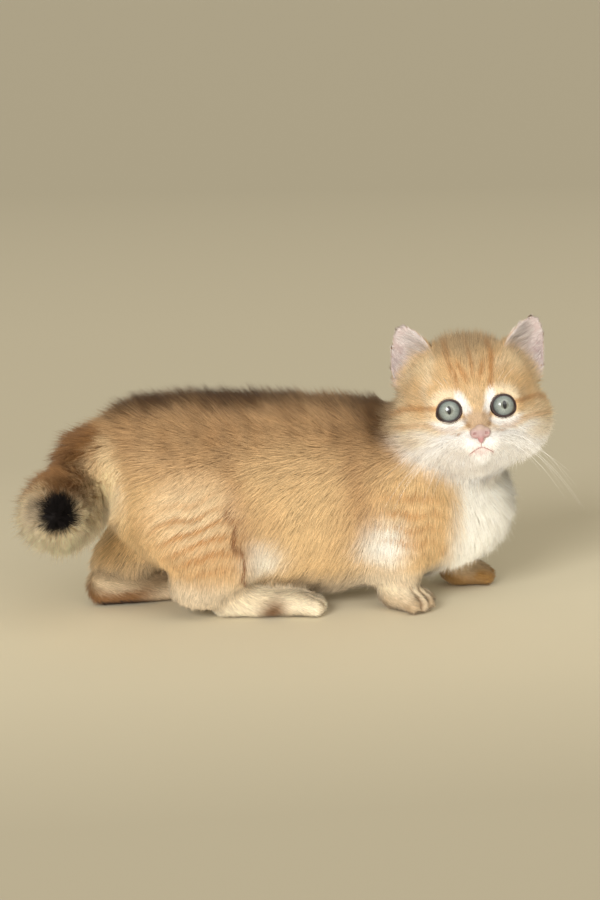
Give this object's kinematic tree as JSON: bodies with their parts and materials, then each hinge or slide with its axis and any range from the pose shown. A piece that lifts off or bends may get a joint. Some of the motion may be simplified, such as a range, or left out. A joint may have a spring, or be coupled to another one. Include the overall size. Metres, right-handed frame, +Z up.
{
  "type": "munchkin kitten, still life-size model",
  "caption": "Short-legged kitten standing low, head turned over its right shoulder, tail held out and curled forwards, for display at life size.",
  "frame": {"origin": "on the floor, under the middle of the whole kitten's box", "axes": "+Z up, +X along the back towards the chest, +Y towards the kitten's left side"},
  "size_m": [0.293, 0.1238, 0.1616],
  "materials": {
    "coat_trunk": "soft matt fur",
    "coat_head": "soft matt fur",
    "coat_chest": "soft matt fur",
    "coat_legs": "soft matt fur",
    "coat_tail": "soft matt fur",
    "tail_tip_coat": "soft matt fur",
    "ear_skin": "thin skin under fine short hair",
    "eye": "wet gloss",
    "nose_leather": "damp satin",
    "paw_pads": "matt",
    "whiskers": "fine satin hair"
  },
  "bodies": {
    "root": {"ear_left": "ear_skin", "ear_right": "ear_skin", "eye_left": "eye", "eye_right": "eye", "foreleg_left": "coat_legs", "foreleg_right": "coat_legs", "forepaw_left": "coat_legs", "forepaw_right": "coat_legs", "head": "coat_head", "hindfoot_left": "coat_legs", "hindfoot_right": "coat_legs", "hindleg_left": "coat_legs", "hindleg_right": "coat_legs", "neck": "coat_chest", "nose": "nose_leather", "tail_middle": "coat_tail", "tail_root": "coat_tail", "tail_tip": "tail_tip_coat", "torso": "coat_trunk"}
  },
  "joints": []
}
